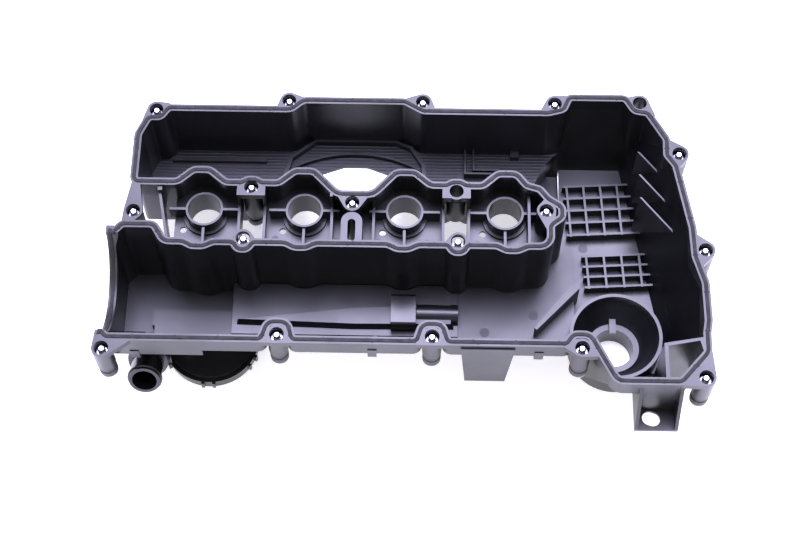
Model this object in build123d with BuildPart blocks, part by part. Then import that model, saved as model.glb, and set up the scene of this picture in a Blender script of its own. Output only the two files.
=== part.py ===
"""Cam cover of a four-cylinder engine, lying on its outer side with the sealing rim up.

The model is drawn with the flange plane at z = 0 and everything below it, then the whole
assembly is set down so that its box is centred on the origin and stands on z = 0.
X runs along the row of plug collars, Y points to the motor side, Z out of the sealing rim.
"""

import math
import os

from build123d import *

# ---------------------------------------------------------------- overall sizes, mm
PITCH = 91.0  # plug collar to plug collar
BACK = 94.7  # seal line on the motor side, from the collar row
FRONT = -136.3  # seal line on the breather side
WELL_BACK = 17.0  # seal line along the back of the plug well
WELL_FRONT = -43.0  # seal line along the front of the plug well
STAND = 120.0  # flange plane above the surface the cover lies on

# ---------------------------------------------------------------- rim
BAND = 3.6  # half width of the flange band
FLANGE = 7.0  # flange thickness
SKIRT = 20.0  # drop of the outer lip
SKIRT_LIP = 2.2
LOW_LIP = 30.0  # drop of the lip in front of the pocket
WALL = 3.0
WALL_INSET = 0.6  # outer wall face, inwards from the seal line
GASKET_HALF = 1.5
GASKET_PROUD = 0.8
GROOVE_HALF = GASKET_HALF + 0.2
GROOVE_DEEP = 3.4
MOON_R = 47.7  # half-round saddle in the left end
MOON_Y = FRONT + 53.3
MOON_UP = 4.7  # its centre above the flange plane

# ---------------------------------------------------------------- chamber depths
BACK_DEEP = 73.0
POCKET_DEEP = 97.0
PLATE_DEEP = 77.0  # top of the separator plate
PLATE = 2.4
RIGHT_DEEP = 80.0
CHAIN_DEEP = 95.0
SLOPE = 0.54  # run of the front walls per mm of depth
SLOPE_FROM = 16.0

# ---------------------------------------------------------------- plug well
COLLAR_BORE = 15.0
COLLAR_R = COLLAR_BORE + 2.0
COLLAR_TOP = 20.0
COLLAR_END = 50.0
FLOOR = 35.0
FLOOR_T = 3.0
RIB = 2.4

# ---------------------------------------------------------------- captive bolts
BOLT_R = 3.0
WAIST_R = BOLT_R - 0.5
TIP = 1.5  # bolt end below the flange plane
THREAD_END = 22.0
SLEEVE_BORE = BOLT_R + 0.4
SLEEVE_R = SLEEVE_BORE + 1.5
SLEEVE_TOP = 9.0
BOSS_BORE = SLEEVE_R + 1.5
BOSS_R = BOSS_BORE + 2.2
BOSS_LONG = 31.0  # bosses of the rim
WELL_BOSS = 44.0  # bosses of the plug well, which reach through its floor
WEB_LAP = 0.5  # how far a boss runs into the wall beside it
GROMMET_TOP = 14.0
GROMMET_R = BOSS_BORE + 1.8
GROMMET_NECK = BOSS_BORE + 0.8
GROMMET_OUT = 16.0  # part of a grommet below its boss
WASHER_R = 8.0
WASHER_T = 2.0
HEAD_FLATS = 10.0
HEAD_T = 6.0
STUD_LONG = 11.0

# ---------------------------------------------------------------- breather valve
CUP_R = 41.0
CUP_X = -1.5 * PITCH - 36.5 + CUP_R
CUP_Y = FRONT + 44.3
CUP_TOP = POCKET_DEEP + WALL
CUP_END = 111.0
LID_R = CUP_R + 4.0
LID_T = 2.5
SEAT_BORE = 8.5
SEAT_R = SEAT_BORE + 2.5
SEAT_END = 104.0
DIAPHRAGM = 1.2
PLATE_R = SEAT_R + 4.5
HUB_R = PLATE_R + 0.4  # rolled edge of the diaphragm round the valve plate
PIN_R = 3.2
WIRE = 0.45
SPRING_R = SEAT_R + 1.6
FIT = 0.1  # gap between the seat and the lifted valve plate
LIFT = 3.0  # travel of the valve plate
SPIGOT_BORE = 13.2
SPIGOT_R = SPIGOT_BORE + 2.3
SPIGOT_UP = 26.0  # degrees above the horizontal
SPIGOT_LONG = 42.0
TOWER_LONG = 14.0

# ---------------------------------------------------------------- oil filler
BOWL_X = 1.5 * PITCH + 102.0
BOWL_Y = FRONT + 37.0
BOWL_R = 42.0
NECK_BORE = 18.5
NECK_R = NECK_BORE + 4.0

X1 = -1.5 * PITCH
X2 = -0.5 * PITCH
X3 = 0.5 * PITCH
X4 = 1.5 * PITCH
WELL_MID = 6.6
MID_BOLT = -1.5  # the middle well bolt, along the row
CHAIN_BACK = BACK + 16.8
CHAIN_FRONT = FRONT - 33.5


# ================================================================ the seal line
def front_wave(x):
    """Shallow bulge of the seal line in front of one collar, from left to right."""
    return [
        (x - 14.5, WELL_FRONT, 12),
        (x - 6, WELL_FRONT - 4.5, 12),
        (x + 4, WELL_FRONT - 4.5, 12),
        (x + 13, WELL_FRONT, 12),
    ]


def front_dip(x):
    """Detour of the seal line round a front well bolt, from left to right."""
    return [
        (x - GROMMET_R - 0.8, WELL_FRONT, 4.4),
        (x - GROMMET_R + 4.2, WELL_FRONT - GROMMET_R + 1, 6),
        (x + GROMMET_R - 4.2, WELL_FRONT - GROMMET_R + 1, 6),
        (x + GROMMET_R + 0.8, WELL_FRONT, 4.4),
    ]


def back_dip(x):
    """Low bump of the seal line behind a bridge bolt, from right to left."""
    return [
        (x + GROMMET_R + 1, WELL_BACK, 5),
        (x + GROMMET_R - 5, WELL_BACK + GROMMET_R - 5, 5),
        (x - GROMMET_R + 5, WELL_BACK + GROMMET_R - 5, 5),
        (x - GROMMET_R - 1, WELL_BACK, 5),
    ]


FRONT_BOLT_IN = 4.8  # front flange bolts, inwards from the seal line beside them


def arch(x):
    """Detour of the seal line inside a front flange bolt, from right to left."""
    crown = FRONT + FRONT_BOLT_IN + BOSS_R + BAND - WEB_LAP
    return [
        (x + 13.5, FRONT, 4.6),
        (x + 8.5, crown, 8),
        (x - 8.5, crown, 8),
        (x - 13.5, FRONT, 4.6),
    ]


WAVE = 12.7
BRIDGES = (0.5 * (X1 + X2) - 2.0, 0.5 * (X3 + X4) + 1.0)
FRONT_DIPS = (0.5 * (X1 + X2) - 6.5, 0.5 * (X3 + X4) + 2.5)
FRONT_BOLTS = (X3 + 26.0, X2 - 17.5)

SEAL = [
    # back edge, left to right
    (X1 - 63.2, BACK - 28.7, 15),
    (X1 - 55, BACK - 10.3, 6),
    (X1 - 44, BACK - 10.3, 6),
    (X1 - 37.5, BACK, 6),
    (X2 - 15.5, BACK, 10),
    (X2 - 4.5, BACK + 10, 10),
    (X3 - 1.5, BACK + 10, 10),
    (X3 + 15.5, BACK, 10),
    (X4 + 39.5, BACK, 10),
    (X4 + 53.5, BACK + 3.8, 6),
    (X4 + 59, CHAIN_BACK, 5),
    (X4 + 111, CHAIN_BACK, 6),
    (X4 + 119, BACK + 3.3, 6),
    (X4 + 131, BACK + 1.3, 6),
    # chain end, back to front
    (X4 + 147, BACK - 26.7, 10),
    (X4 + 146.5, BACK - 42.7, 5),
    (X4 + 154, BACK - 53.7, 8),
    (X4 + 165.5, BACK - 116.7, 12),
    (X4 + 166.5, FRONT + 86, 8),
    (X4 + 174, FRONT + 60, 20),
    (X4 + 174.5, FRONT + 24, 10),
    (X4 + 172.5, FRONT + 12, 10),
    (X4 + 172.5, FRONT - 5.7, 10),
    (X4 + 148.5, CHAIN_FRONT, 8),
    # front edge, right to left
    (X4 + 93.5, CHAIN_FRONT, 10),
    (X4 + 71.5, FRONT + 8.8, 9),
    (X4 + 57, FRONT + 8.8, 7),
    (X4 + 51, FRONT, 5),
    *arch(FRONT_BOLTS[0]),
    *arch(FRONT_BOLTS[1]),
    (X1 - 74.5, FRONT, 6),
    (X1 - 80, FRONT + 7, 6),
    # left end and the front of the plug well
    (X1 - 80, WELL_FRONT + 4, 8),
    (X1 - 69.5, WELL_FRONT + 16.5, 6),
    (X1 - 41.5, WELL_FRONT + 16.5, 7),
    (X1 - 31.5, WELL_FRONT, 9),
    *front_wave(X1),
    *front_dip(FRONT_DIPS[0]),
    *front_wave(X2),
    *front_wave(X3),
    *front_dip(FRONT_DIPS[1]),
    *front_wave(X4 + 6),
    # right end of the plug well
    (X4 + 39.5, WELL_FRONT, 11),
    (X4 + 39.5, WELL_FRONT + 21.5, 7),
    (X4 + 50, WELL_FRONT + 29.5, 7),
    (X4 + 50, WELL_BACK - 20, 7),
    (X4 + 37.5, WELL_BACK - 12, 10),
    (X4 + 30.5, WELL_BACK - 2.5, 8),
    (X4 + 18.5, WELL_BACK + 1, 8),
    (X4 + 9.5, WELL_BACK + WAVE, 9),
    (X4 - 7, WELL_BACK + WAVE, 9),
    (X4 - 21, WELL_BACK, 9),
    # back of the plug well, right to left
    *back_dip(BRIDGES[1]),
    (X3 + 23, WELL_BACK, 10),
    (X3 + 8.5, WELL_BACK + WAVE, 9),
    (X3 - 8, WELL_BACK + WAVE, 9),
    (X3 - 28.5, WELL_MID, 14),
    (X2 + 30, WELL_MID, 14),
    (X2 + 8, WELL_BACK + WAVE, 9),
    (X2 - 8.5, WELL_BACK + WAVE, 9),
    (X2 - 23, WELL_BACK, 10),
    *back_dip(BRIDGES[0]),
    (X1 + 20, WELL_BACK, 10),
    (X1 + 5, WELL_BACK + WAVE, 9),
    (X1 - 9.5, WELL_BACK + WAVE, 9),
    (X1 - 23.5, WELL_BACK, 10),
    (X1 - 63.2, WELL_BACK, 5),
]


def beside(corners, gap):
    """Corners of the loop that runs beside a clockwise loop, gap mm outside it."""
    moved = []
    count = len(corners)
    for i in range(count):
        before = Vector(*corners[i - 1][:2])
        here = Vector(*corners[i][:2])
        after = Vector(*corners[(i + 1) % count][:2])
        into = (here - before).normalized()
        out = (after - here).normalized()
        turn = into.X * out.Y - into.Y * out.X
        half = math.atan2(turn, into.dot(out)) / 2
        normal = Vector(-into.Y, into.X)
        corner = here + normal * gap - into * gap * math.tan(half)
        side = 1 if turn < 0 else -1
        moved.append((corner.X, corner.Y, corners[i][2] + side * gap))
    return moved


def draw_loop(corners):
    """Straight runs joined by tangent arcs, drawn in the open BuildLine."""
    count = len(corners)
    ends = []
    for i in range(count):
        before = Vector(*corners[i - 1][:2])
        here = Vector(*corners[i][:2])
        after = Vector(*corners[(i + 1) % count][:2])
        radius = corners[i][2]
        into = (here - before).normalized()
        out = (after - here).normalized()
        half = abs(math.atan2(into.X * out.Y - into.Y * out.X, into.dot(out))) / 2
        reach = radius * math.tan(half)
        inward = (out - into).normalized()
        middle = here + inward * (radius / math.cos(half) - radius)
        ends.append((here - into * reach, middle, here + out * reach))
    for i in range(count):
        ThreePointArc(*ends[i])
        Line(ends[i][2], ends[(i + 1) % count][0])


def seal_face(gap, mode=Mode.ADD):
    """Filled outline that runs beside the seal line, in the open BuildSketch."""
    with BuildLine(mode=Mode.PRIVATE) as outline:
        draw_loop(beside(SEAL, gap))
    make_face(outline.edges(), mode=mode)


def polygon(points, mode=Mode.ADD):
    """Filled straight-sided outline in the open BuildSketch."""
    with BuildLine(mode=Mode.PRIVATE) as outline:
        Polyline(*points, close=True)
    make_face(outline.edges(), mode=mode)


# ================================================================ where the bolts are
# each bolt: centre, then the two places on the seal line its lug grows from
OUTER_BOLTS = [
    ((X1 - 40.3 - GROMMET_R, BACK - 10.6 + GROMMET_R), (X1 - 57, BACK - 14), (X1 - 38.5, BACK + 1.5)),
    ((X2 - 17.5, BACK + 9.3), (X2 - 26, BACK), (X2 - 5, BACK + 9.8)),
    ((X3 + 15, BACK + 9.8), (X3, BACK + 9.8), (X3 + 24, BACK)),
    ((X4 + 45.8, BACK + 1.8 + GROMMET_R), (X4 + 35, BACK), (X4 + 58, BACK + 15)),
    ((X4 + 157.8, BACK - 41.2), (X4 + 148, BACK - 30), (X4 + 154, BACK - 54)),
    ((X4 + 176, FRONT + 92.3), (X4 + 165, FRONT + 106), (X4 + 169, FRONT + 78)),
    ((X4 + 169.5, FRONT - 29.2), (X4 + 172.5, FRONT - 6), (X4 + 149, CHAIN_FRONT)),
    ((X4 + 64.5, FRONT - 3.7), (X4 + 80, FRONT - 8), (X4 + 50, FRONT)),
    *(((x, FRONT + FRONT_BOLT_IN), (x - 15, FRONT), (x + 15, FRONT)) for x in FRONT_BOLTS),
    ((X1 - 77, FRONT - 10.7), (X1 - 80, FRONT + 8), (X1 - 54, FRONT)),
    ((X1 - 61, WELL_FRONT + 30), (X1 - 61, WELL_BACK), (X1 - 67, WELL_FRONT + 17)),
]
EMPTY_RIM_HOLE = ((X4 + 124, BACK + 11.8), (X4 + 113, BACK + 14), (X4 + 134, BACK - 1))
WELL_BOLTS = [
    *(((x, WELL_FRONT + 4), (x - 9, WELL_FRONT), (x + 9, WELL_FRONT)) for x in FRONT_DIPS),
    ((MID_BOLT, WELL_MID - 8.2), (MID_BOLT - 10.5, WELL_MID), (MID_BOLT + 11.5, WELL_MID)),
    ((X4 + 36, WELL_BACK - 24), (X4 + 39.5, WELL_FRONT + 18), (X4 + 39, WELL_BACK - 13)),
]
STUD_BOLT, EMPTY_WELL_HOLE = (
    ((x, WELL_BACK - inwards), (x - 9, WELL_BACK), (x + 9, WELL_BACK))
    for x, inwards in zip(BRIDGES, (4.3, 5.8))
)
LUGS = [*OUTER_BOLTS, EMPTY_RIM_HOLE, *WELL_BOLTS, STUD_BOLT, EMPTY_WELL_HOLE]
RIM_HOLES = [lug[0] for lug in (*OUTER_BOLTS, EMPTY_RIM_HOLE)]
WELL_HOLES = [lug[0] for lug in (*WELL_BOLTS, STUD_BOLT, EMPTY_WELL_HOLE)]
BOSSES = ((BOSS_LONG, RIM_HOLES), (WELL_BOSS, WELL_HOLES))


def lug_face(lug):
    """Rounded web between one bolt boss and the band, in the open BuildSketch."""
    with BuildSketch(mode=Mode.PRIVATE) as web:
        with Locations(lug[0]):
            Circle(BOSS_R)
        with Locations(*lug[1:]):
            Circle(BAND)
        make_hull()
    add(web.sketch)


def prism(points, top, bottom, mode=Mode.ADD):
    """Straight-sided block between two depths below the flange plane."""
    with BuildSketch(Plane.XY.offset(-bottom)) as profile:
        polygon(points)
    extrude(profile.sketch, amount=bottom - top, mode=mode)


def box(x0, x1, y0, y1, top, bottom, mode=Mode.ADD):
    """Rectangular block between two depths below the flange plane."""
    prism([(x0, y0), (x1, y0), (x1, y1), (x0, y1)], top, bottom, mode)


def post(x, y, radius, top, bottom, mode=Mode.ADD):
    """Upright round post or hole between two depths below the flange plane."""
    with BuildSketch(Plane.XY.offset(-bottom)) as profile:
        with Locations((x, y)):
            Circle(radius)
    extrude(profile.sketch, amount=bottom - top, mode=mode)


DEEP = 200.0  # beyond every wall, for cutters
FAR = 600.0
CHAMBER_SPLIT = WELL_BACK - 20  # the back chamber's floor starts here
SPLIT_X = X1 + 25  # pocket to separator
RIGHT_X = X3 + 50  # separator to the plain floor beside it
CHAIN_X = X4 + 66  # plain floor to chain end
CHAIN_MID = X4 + 98.5
CHAIN_MID_Y = BACK - 54.7
CHAIN_ROUND = 70.0
SLANT = 10.3  # degrees the chain end's right edge is turned
SLANT_X = X4 + 162.0  # where its wall leans from, at the collar row


def hollow(inset, drop):
    """The space of both cam chambers and the chain end.

    inset is how far the side walls stand in from the seal line, and drop is added to every
    depth, so the same function gives the inside of the shell and its outside.
    """
    with BuildPart(mode=Mode.PRIVATE) as space:
        with BuildSketch(Plane.XY.offset(-CHAIN_DEEP - drop - 10)) as profile:
            seal_face(-inset)
        extrude(profile.sketch, amount=CHAIN_DEEP + drop + 10)
        # back chamber floor, as far as the round end of the chain vault
        with BuildPart(mode=Mode.PRIVATE) as back_floor:
            box(-FAR, CHAIN_MID, CHAMBER_SPLIT, FAR, BACK_DEEP + drop, DEEP)
            post(CHAIN_MID, CHAIN_MID_Y, CHAIN_ROUND + drop, 0, DEEP, Mode.SUBTRACT)
        add(back_floor.part, mode=Mode.SUBTRACT)
        # front chamber floors, left to right
        box(-FAR, SPLIT_X + drop, -FAR, CHAMBER_SPLIT, POCKET_DEEP + drop, DEEP, Mode.SUBTRACT)
        box(SPLIT_X + drop, RIGHT_X + drop, -FAR, CHAMBER_SPLIT, CHAIN_DEEP + drop, DEEP, Mode.SUBTRACT)
        box(RIGHT_X + drop, CHAIN_X - drop, -FAR, CHAMBER_SPLIT, RIGHT_DEEP + drop, DEEP, Mode.SUBTRACT)
        box(CHAIN_X - 10, FAR, -FAR, FAR, CHAIN_DEEP + drop, DEEP, Mode.SUBTRACT)
        # leaning front walls: the long front first, then the stretch in front of the filler
        for x0, x1, line in ((-FAR, CHAIN_X + 4, FRONT), (CHAIN_X + 4 - drop, FAR, CHAIN_FRONT)):
            foot = line + inset
            with BuildSketch(Plane.YZ.offset(x0)) as profile:
                polygon([(foot, -SLOPE_FROM), (foot - 60, -SLOPE_FROM), (foot - 60, -DEEP),
                         (foot + SLOPE * (DEEP - SLOPE_FROM), -DEEP)])
            extrude(profile.sketch, amount=x1 - x0, mode=Mode.SUBTRACT)
        # the back wall of the chain end leans in
        foot = CHAIN_BACK - inset
        with BuildSketch(Plane.YZ.offset(X4 + 40)) as profile:
            polygon([(foot, -15), (foot + 60, -15), (foot + 60, -DEEP),
                     (foot - 0.25 * (DEEP - 15), -DEEP)])
        extrude(profile.sketch, amount=FAR, mode=Mode.SUBTRACT)
        # the right-hand wall leans in along the slant of the rim
        slant = math.radians(SLANT)
        across = Plane(
            origin=(SLANT_X, 0, 0),
            x_dir=(math.cos(slant), math.sin(slant), 0),
            z_dir=(-math.sin(slant), math.cos(slant), 0),
        )
        with BuildSketch(across.offset(-FAR)) as profile:
            polygon([(-inset, 5), (60, 5), (60, DEEP), (-inset - 0.31 * (DEEP - 5), DEEP)])
        extrude(profile.sketch, amount=2 * FAR, mode=Mode.SUBTRACT)
    return space.part


# ================================================================ the moulded cover
def well_features():
    """Floor, collars, ribs and walls of the plug well, in the open BuildPart."""
    box(X1 - 28, X4 + 42, WELL_FRONT - 6, WELL_BACK + 16, FLOOR, FLOOR + FLOOR_T)
    for x in (X1, X2, X3, X4):
        post(x, 0, COLLAR_R, COLLAR_TOP, COLLAR_END)
        box(x - RIB / 2, x + RIB / 2, WELL_FRONT - 4, 0, COLLAR_TOP + 2, FLOOR)
        box(x - 32, x + 32, -RIB / 2, RIB / 2, COLLAR_TOP, FLOOR)
        post(x, 0, COLLAR_R + 3, FLOOR - 3, FLOOR)
    for x in (*BRIDGES, MID_BOLT):
        # a pair of cross walls either side of every bolted bridge
        for side in (-1, 1):
            wall = x + side * (19 if x == MID_BOLT else 11.5)
            box(wall - RIB / 2, wall + RIB / 2, WELL_FRONT - 2, WELL_BACK + 8, COLLAR_TOP, FLOOR + 8)
            box(wall - RIB / 2, wall + RIB / 2, WELL_BACK - 13, WELL_BACK + 8, 0, FLOOR)
    for x in BRIDGES:
        box(x - 12.7, x + 12.7, WELL_BACK - 13, WELL_BACK + 3, 0, FLANGE)
    box(X4 + 20, X4 + 22.4, WELL_FRONT - 2, WELL_BACK + 2, 12, FLOOR + 8)
    # slanted end wall of the first cell
    prism([(X1 - 27, WELL_FRONT - 2), (X1 - 29.5, WELL_FRONT - 2), (X1 - 43, WELL_BACK + 3),
           (X1 - 40.5, WELL_BACK + 3)], 6, FLOOR + 8)
    box(X1 - 41, X1 - 37, WELL_BACK - 8, WELL_BACK, 2, FLOOR)
    # arched bridge in the middle, round a slot
    with BuildSketch(Plane.XY.offset(-FLOOR)) as profile:
        with Locations((MID_BOLT, WELL_FRONT + 12)):
            SlotCenterToCenter(20, 19, rotation=90)
    extrude(profile.sketch, amount=FLOOR)


def well_openings():
    """Cutters for what is open through the floor of the plug well."""
    for x in (X1, X2, X3, X4):
        post(x, 0, COLLAR_BORE, COLLAR_TOP - 5, COLLAR_END + 5)
        post(x - 20, -14, 3.2, FLOOR - 5, FLOOR + 5)
    for x in BRIDGES:
        box(x - 10.3, x + 10.3, WELL_FRONT + 8, WELL_BACK - 13, 5, FLOOR + 9)
        box(x - 10.3, x + 10.3, WELL_FRONT + 8, WELL_BACK + 0.5, FLANGE, FLOOR + 9)
    for x, y in (STUD_BOLT[0], EMPTY_WELL_HOLE[0]):
        post(x, y, BOSS_R, FLANGE, FLOOR + 10, Mode.SUBTRACT)
    with BuildSketch(Plane.XY.offset(-FLOOR - 5)) as profile:
        with Locations((MID_BOLT, WELL_FRONT + 13.5)):
            SlotCenterToCenter(15, 7, rotation=90)
    extrude(profile.sketch, amount=FLOOR + 10)
    box(MID_BOLT - 15.5, MID_BOLT - 10, WELL_FRONT + 9, WELL_FRONT + 17, FLOOR - 5, FLOOR + 5)


def tube_along(start, direction, radius, length, mode=Mode.ADD):
    """Round bar or hole of any direction, added to the open BuildPart."""
    with BuildSketch(Plane(origin=start, z_dir=direction)) as profile:
        Circle(radius)
    extrude(profile.sketch, amount=length, mode=mode)


SPIGOT_DIR = (0, -math.cos(math.radians(SPIGOT_UP)), math.sin(math.radians(SPIGOT_UP)))
SPIGOT_ROOT = (CUP_X - CUP_R - 11, FRONT + 22, -80)
GRID_Z = (CHAIN_DEEP - 10, CHAIN_DEEP + 1)
GRID_TILT = 3.5


def grid_ribs(x0, x1, y0, y1, rows, columns):
    """A patch of low crossing ribs on the chain-end floor, slightly turned."""
    middle = ((x0 + x1) / 2, (y0 + y1) / 2)
    width = x1 - x0
    depth = y1 - y0
    with BuildSketch(Plane.XY.offset(-GRID_Z[1])) as profile:
        with Locations(Location((*middle, 0), (0, 0, GRID_TILT))):
            with GridLocations(0, depth / (rows - 1), 1, rows):
                Rectangle(width + 8, 2)
            with GridLocations(width / (columns - 1), 0, columns, 1):
                Rectangle(2, depth + 3)
    extrude(profile.sketch, amount=GRID_Z[1] - GRID_Z[0])


def inside_features():
    """Ribs, bars and frames on the chamber floors, added to the open BuildPart."""
    # back chamber: stiffening bar, frame round the motor opening, channel and block
    box(X1 - 41, X2 - 42, BACK - 17, BACK - 13, BACK_DEEP - 4, BACK_DEEP + 1)
    with BuildSketch(Plane.XY.offset(-BACK_DEEP - 1)) as profile:
        polygon([(X2 - 27, BACK - 38.7), (X2 - 20, BACK - 13), (X2 + 4, BACK + 6.5),
                 (X3 - 10, BACK + 6.5), (X3 + 6, BACK), (X3 + 18, BACK - 20), (X3 + 20, BACK - 38.7)])
        polygon([(X2 - 23, BACK - 38.7), (X2 - 17, BACK - 14), (X2 + 5, BACK + 4), (X3 - 11, BACK + 4),
                 (X3 + 3, BACK - 2), (X3 + 14.5, BACK - 20), (X3 + 16, BACK - 38.7)], Mode.SUBTRACT)
    extrude(profile.sketch, amount=8)
    with BuildSketch(Plane.XY.offset(-BACK_DEEP - 1)) as profile:
        with BuildLine(mode=Mode.PRIVATE) as crescent:
            ThreePointArc((X2 - 20, BACK - 26), (MID_BOLT - 1.5, BACK - 6), (X3 + 18, BACK - 28))
            ThreePointArc((X3 + 18, BACK - 28), (MID_BOLT - 1.5, BACK - 8.6), (X2 - 20, BACK - 26))
        make_face(crescent.edges())
    extrude(profile.sketch, amount=6)
    for x, y in ((X4 - 36, BACK - 30), (X4 - 28, BACK - 26)):
        box(x, x + 1.8, y, BACK, BACK_DEEP - 9, BACK_DEEP + 1)
        box(x, x + 26, y, y + 1.8, BACK_DEEP - 9, BACK_DEEP + 1)
    box(X4 + 8, X4 + 16, BACK - 10, BACK, BACK_DEEP - 7, BACK_DEEP + 1)
    # pocket: raised duct of the breather with a step round it
    box(CUP_X - 54, CUP_X + 22, FRONT + 31, FRONT + 66, POCKET_DEEP - 9, POCKET_DEEP + 1)
    box(CUP_X - 51, CUP_X + 22, FRONT + 34, FRONT + 62, POCKET_DEEP - 12, POCKET_DEEP - 9)
    # chain end: crossing ribs
    grid_ribs(X4 + 64, X4 + 128, BACK - 80.7, BACK - 28.7, 5, 5)
    grid_ribs(X4 + 80, X4 + 146, WELL_FRONT + 3, WELL_FRONT + 35, 4, 5)
    # slanted ribs on the leaning right-hand wall
    for y in (BACK - 36.7, BACK - 60.7, BACK - 84.7):
        prism([(X4 + 124, y + 14), (X4 + 126, y + 14), (X4 + 158, y - 26), (X4 + 156, y - 26)],
              30, CHAIN_DEEP + 1)
    # slanted duct wall between the plain floor and the filler
    prism([(CHAIN_X - 38, FRONT + 42), (CHAIN_X - 36, FRONT + 40), (CHAIN_X + 4, WELL_FRONT - 11),
           (CHAIN_X + 4, WELL_FRONT - 3), (CHAIN_X - 3, WELL_FRONT - 7)], 62, CHAIN_DEEP + 1)


def corner_pocket():
    """Walls of the small deep pocket in the front right corner."""
    prism([(X4 + 135, FRONT - 31), (X4 + 135, FRONT + 2), (X4 + 168, FRONT + 8), (X4 + 174, FRONT + 8),
           (X4 + 174, FRONT - 6), (X4 + 150, FRONT - 34)], 0, CHAIN_DEEP + 1)


def trim_box():
    """Outside brackets of the breather side, added to the open BuildPart."""
    # open-topped bracket with two side gussets and a clip hole
    x0, x1 = X4 + 113.5, X4 + 151.5
    y0 = CHAIN_FRONT - 23
    box(x0, x1, y0, CHAIN_FRONT + 20, 57, 60)
    box(x0, x1, CHAIN_FRONT - 3.4, CHAIN_FRONT + 4, 5, 58)
    for x in (x0, x1 - 3):
        with BuildSketch(Plane.YZ.offset(x)) as profile:
            polygon([(y0, -60), (y0, -56), (CHAIN_FRONT - 3, -6), (CHAIN_FRONT + 20, -6),
                     (CHAIN_FRONT + 20, -60)])
        extrude(profile.sketch, amount=3)
    # hanging stiffener box
    with BuildSketch(Plane.XZ.offset(-(FRONT + 6))) as profile:
        polygon([(X3 + 51, -5), (X3 + 98, -5), (X3 + 92, -76), (X3 + 56, -76)])
    extrude(profile.sketch, amount=11)
    # small stand-off nubs below the lip
    for x, lip in ((X3 - 26, SKIRT), (X4 + 28, SKIRT), (X1 - 52, LOW_LIP)):
        box(x - 4, x + 4, FRONT - 4.4, FRONT - 1, lip - 8, lip + 6)


with BuildPart() as rim:
    # flange plate, hanging lip, lugs and bolt bosses
    with BuildSketch(Plane.XY.offset(-FLANGE)):
        seal_face(BAND)
        for lug in LUGS:
            lug_face(lug)
    extrude(amount=FLANGE)
    with BuildSketch(Plane.XY.offset(-SKIRT)):
        seal_face(BAND)
        seal_face(BAND - SKIRT_LIP, Mode.SUBTRACT)
        with Locations(((X1 + X4) / 2 + 5, (WELL_BACK + WELL_FRONT) / 2 - 1)):
            Rectangle(X4 - X1 + 98, WELL_BACK - WELL_FRONT + 42, mode=Mode.SUBTRACT)
    extrude(amount=SKIRT - FLANGE + 1)
    with BuildSketch(Plane.XY.offset(-LOW_LIP)):
        seal_face(BAND)
        seal_face(BAND - SKIRT_LIP, Mode.SUBTRACT)
        with Locations((X1 - 34, FRONT)):
            Rectangle(83, 30, mode=Mode.INTERSECT)
    extrude(amount=LOW_LIP - SKIRT + 1)
    for depth, places in BOSSES:
        with BuildSketch(Plane.XY.offset(-depth)):
            with Locations(*places):
                Circle(BOSS_R)
        extrude(amount=depth)

with BuildPart() as outside:
    # plug well, brackets, breather tower, cup top and engine-cover posts
    well_features()
    trim_box()
    tube_along(SPIGOT_ROOT, SPIGOT_DIR, SPIGOT_R + 3, TOWER_LONG)
    box(SPIGOT_ROOT[0] - 18, SPIGOT_ROOT[0] + 18, FRONT + 17, FRONT + 42, 66, POCKET_DEEP + WALL)
    post(CUP_X, CUP_Y, CUP_R, POCKET_DEEP, CUP_TOP)
    for x in (X1 - 12, X4 - 22):
        post(x, BACK - 22, 9, BACK_DEEP + 1, STAND - 6)

with BuildPart() as inside:
    inside_features()
    corner_pocket()
    # nothing inside reaches past the middle of the walls
    add(hollow(WALL_INSET + 1, WALL - 1), mode=Mode.INTERSECT)
    # oil filler bowl and neck
    post(BOWL_X, BOWL_Y, BOWL_R, 66, CHAIN_DEEP + WALL)
    post(BOWL_X, BOWL_Y, NECK_R, CHAIN_DEEP, STAND)
    # valve cup and seat
    with BuildSketch(Plane.XY.offset(-CUP_END)):
        with Locations((CUP_X, CUP_Y)):
            Circle(CUP_R)
            Circle(CUP_R - WALL, mode=Mode.SUBTRACT)
    extrude(amount=CUP_END - POCKET_DEEP - 1)
    post(CUP_X, CUP_Y, SEAT_R, POCKET_DEEP, SEAT_END)
    # arched band round the half-round saddle of the left end
    with BuildSketch(Plane.YZ.offset(X1 - 80 - BAND)):
        with Locations((MOON_Y, MOON_UP)):
            Circle(MOON_R + FLANGE)
        with Locations((MOON_Y, 50)):
            Rectangle(2 * FAR, 100, mode=Mode.SUBTRACT)
    extrude(amount=2 * BAND)

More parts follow.
